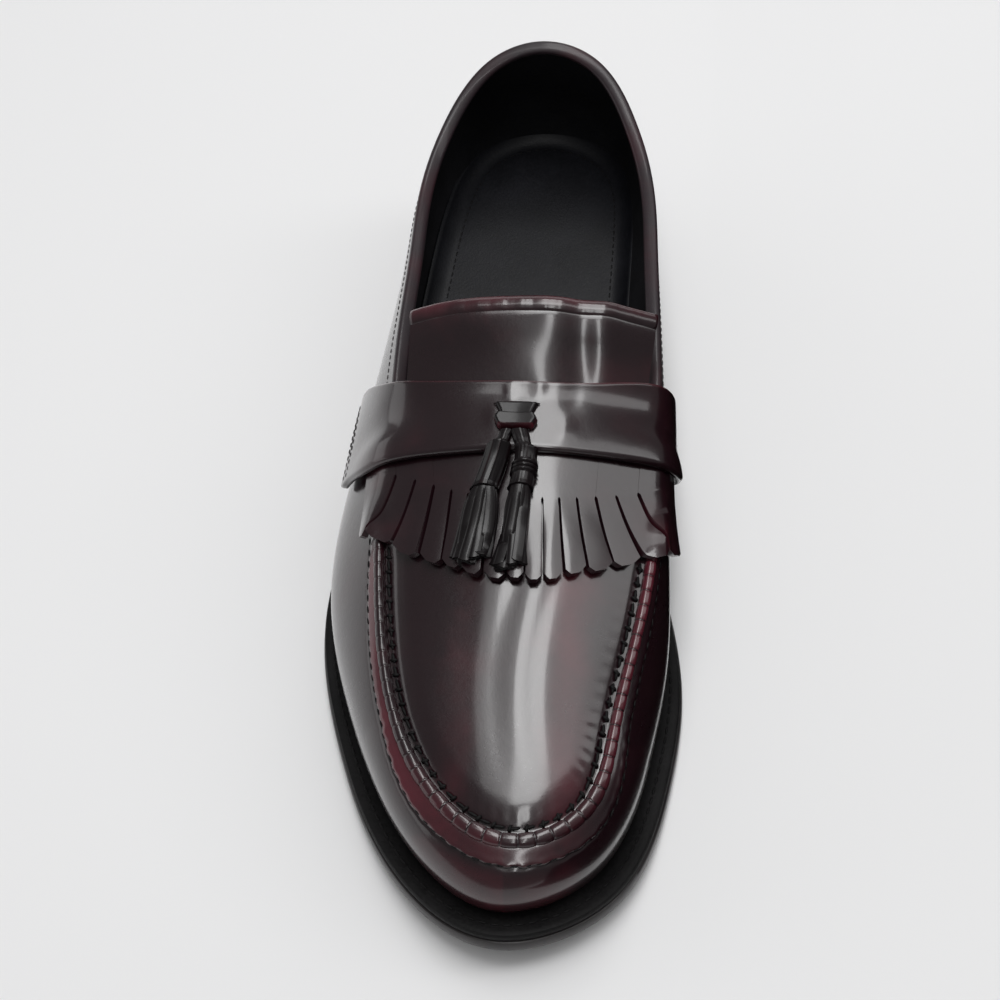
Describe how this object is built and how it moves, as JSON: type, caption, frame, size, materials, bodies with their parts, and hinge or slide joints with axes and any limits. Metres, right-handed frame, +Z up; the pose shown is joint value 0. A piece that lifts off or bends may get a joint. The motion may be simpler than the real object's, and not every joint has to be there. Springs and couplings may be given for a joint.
{
  "type": "tassel loafer",
  "caption": "Low slip-on dress shoe for the right foot with a stitched apron, a fringed saddle with hanging tassels, a welted sole and a stacked heel.",
  "frame": {"origin": "middle of the shoe's plan at floor level", "axes": "+Z up, +Y from the toe to the heel, +X towards the other foot, which is the inside of the foot"},
  "size_m": [0.1113, 0.3022, 0.0892],
  "materials": {
    "burgundy_leather": "high gloss, rubbed from burgundy to nearly black",
    "dark_edge_leather": "inked and smoothed edge",
    "black_welt_leather": "matt with stitch marks",
    "black_lining_leather": "matt lining",
    "black_rubber": "matt"
  },
  "bodies": {
    "root": {"outsole": "dark_edge_leather", "welt": "black_welt_leather", "heel_block": "dark_edge_leather", "heel_top_piece": "black_rubber", "insole": "black_lining_leather", "upper": "burgundy_leather", "topline_binding": "burgundy_leather", "tongue": "burgundy_leather", "tongue_binding": "burgundy_leather", "saddle_strap": "burgundy_leather", "kiltie_fringe": "burgundy_leather", "tassel_tab": "burgundy_leather", "tassel_outer": "burgundy_leather", "tassel_inner": "burgundy_leather"}
  },
  "joints": []
}
